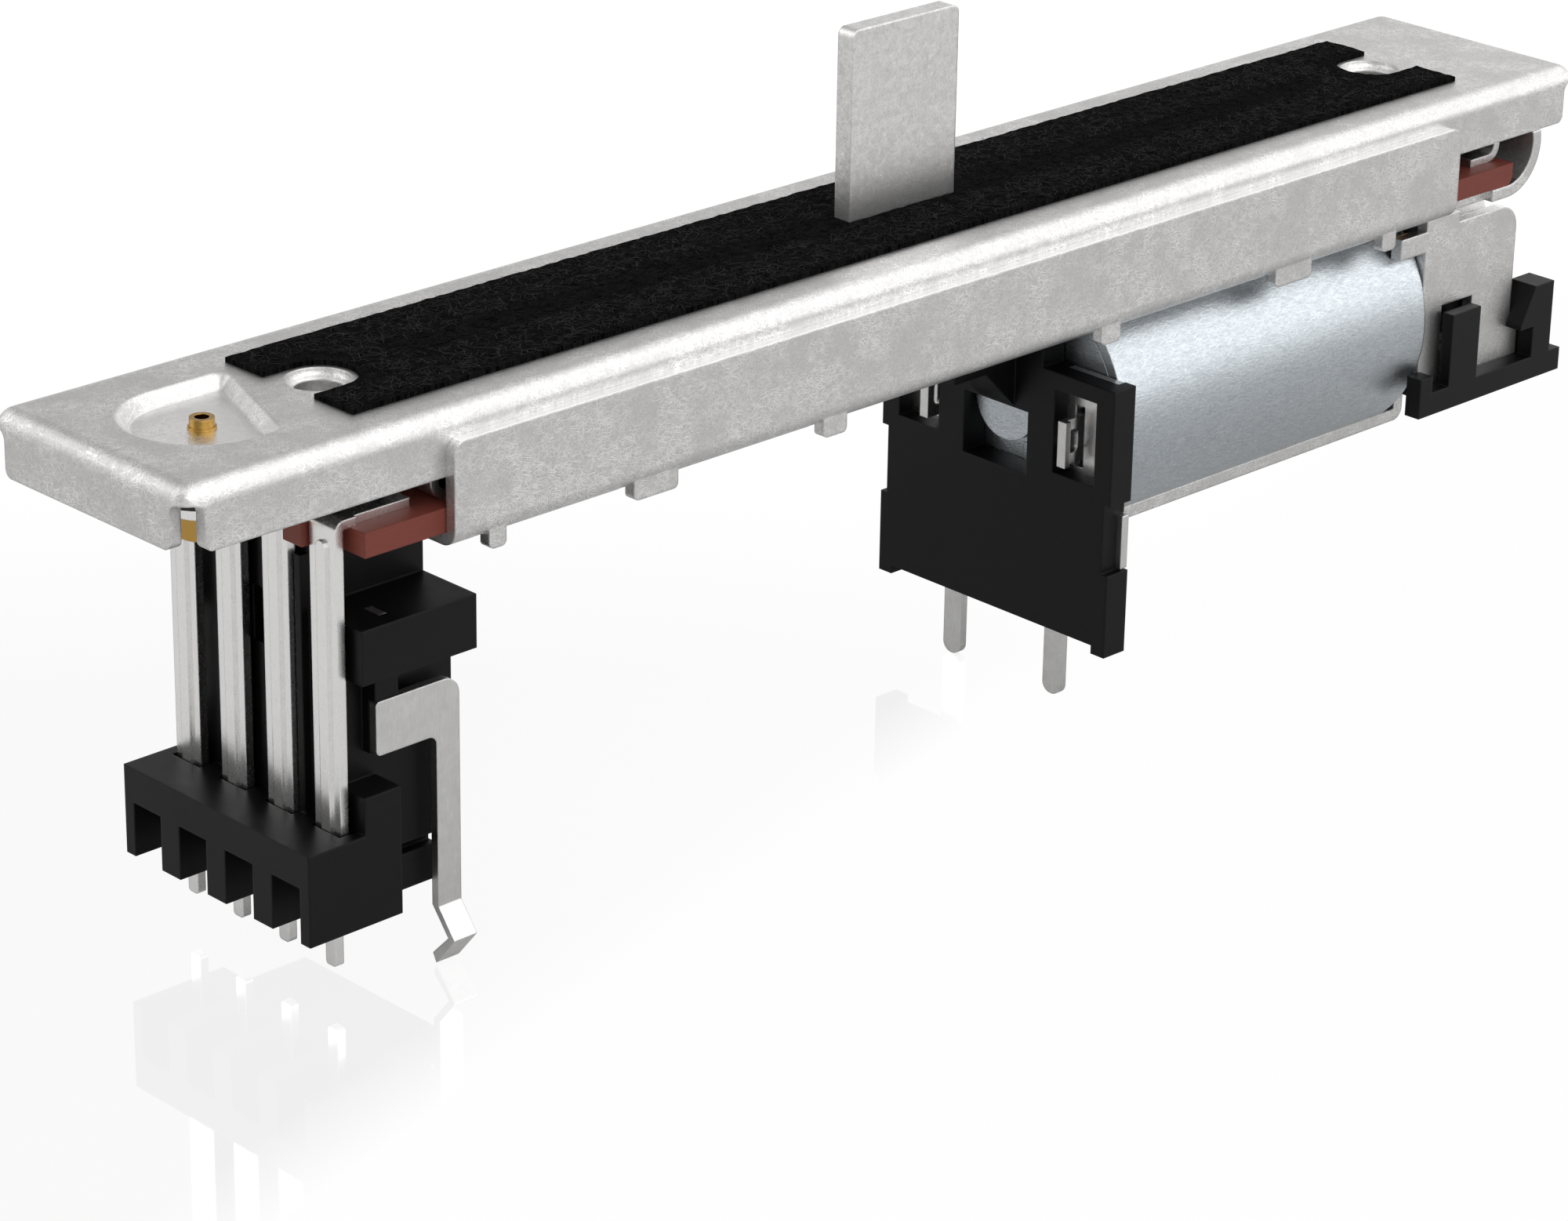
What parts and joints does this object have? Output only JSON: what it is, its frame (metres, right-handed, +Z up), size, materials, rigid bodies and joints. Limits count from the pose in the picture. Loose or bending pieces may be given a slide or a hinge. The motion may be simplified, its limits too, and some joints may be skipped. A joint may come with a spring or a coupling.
{
  "type": "motorized fader",
  "caption": "Slim sliding potentiometer with a flat steel lever in a long slot, driven by a belt, a crown wheel and a small motor slung below the channel.",
  "frame": {"origin": "midway between the two mounting holes, on the upper face of the upper channel", "axes": "+X along the lever's travel towards the motor's end, +Y across to the rear, +Z up along the lever"},
  "size_m": [0.1044, 0.0178, 0.0411],
  "materials": {
    "zinc_plated_steel": "satin, fine drawing marks",
    "lever_steel": "brushed",
    "rod_steel": "ground and polished",
    "felt": "fibrous, matt",
    "phenolic_board": "smooth, semi-matt",
    "carbon_ink": "matt",
    "black_plastic": "moulded, satin",
    "white_plastic": "moulded, satin",
    "belt_rubber": "matt",
    "brass": "turned",
    "tinned_terminal": "tinned, satin",
    "sprung_bronze": "rolled",
    "can_steel": "satin, plated",
    "magnet_ferrite": "matt",
    "lamination_steel": "stacked sheet",
    "copper": "enamelled wire",
    "carbon_brush": "matt",
    "sintered_bronze": "sintered, oiled",
    "insulator": "matt"
  },
  "bodies": {
    "frame": {"top_channel": "zinc_plated_steel", "dust_felt": "felt", "lower_channel": "zinc_plated_steel", "resistor_board": "phenolic_board", "carbon_tracks": "carbon_ink", "end_bracket_left": "zinc_plated_steel", "end_bracket_right": "zinc_plated_steel", "guide_rod_front": "rod_steel", "guide_rod_rear": "rod_steel", "drive_belt": "belt_rubber", "idler_axle": "brass", "idler_washer": "tinned_terminal", "shaft_bushing": "brass", "motor_can": "can_steel", "motor_end_plate": "can_steel", "motor_bearing_rear": "sintered_bronze", "motor_bearing_front": "sintered_bronze", "motor_magnets": "magnet_ferrite", "brush_holder": "insulator", "brushes": "carbon_brush", "motor_tabs": "tinned_terminal", "motor_contact_front": "tinned_terminal", "motor_contact_rear": "tinned_terminal", "motor_plate": "black_plastic", "motor_bracket": "zinc_plated_steel", "motor_screws": "rod_steel", "gear_cover": "black_plastic", "terminal_holder": "black_plastic", "ground_strip": "tinned_terminal", "terminal_1": "tinned_terminal", "terminal_2": "tinned_terminal", "terminal_3": "tinned_terminal", "terminal_4": "tinned_terminal"},
    "carriage": {"lever": "lever_steel", "carriage": "white_plastic", "belt_clamp": "white_plastic", "wiper_front": "sprung_bronze", "wiper_rear": "sprung_bronze"},
    "idler": {"idler_pulley": "white_plastic"},
    "drive": {"drive_pulley": "white_plastic", "drive_shaft": "rod_steel", "crown_gear": "white_plastic"},
    "rotor": {"motor_shaft": "rod_steel", "motor_pinion": "brass", "armature_core": "lamination_steel", "armature_windings": "copper", "commutator": "copper"}
  },
  "joints": [
    {"name": "carriage_slide", "type": "slide", "parent": "frame", "child": "carriage", "axis": [1, 0, 0], "range_m": [-0.03, 0.03]},
    {"name": "idler_spin", "type": "hinge", "parent": "frame", "child": "idler", "pos_m": [-0.0472, 0, -0.003], "axis": [0, 0, 1], "range_deg": [-680, 680]},
    {"name": "drive_spin", "type": "hinge", "parent": "frame", "child": "drive", "pos_m": [0.042, 0, -0.003], "axis": [0, 0, 1], "range_deg": [-680, 680]},
    {"name": "motor_spin", "type": "hinge", "parent": "frame", "child": "rotor", "pos_m": [0.02, 0, -0.0134], "axis": [1, 0, 0], "range_deg": [-1360, 1360]}
  ],
  "couplings": [
    {"joint": "idler_spin", "follows": "carriage_slide", "rad_per_m": 392.7},
    {"joint": "drive_spin", "follows": "carriage_slide", "rad_per_m": 392.7},
    {"joint": "motor_spin", "follows": "carriage_slide", "rad_per_m": 785.4}
  ]
}
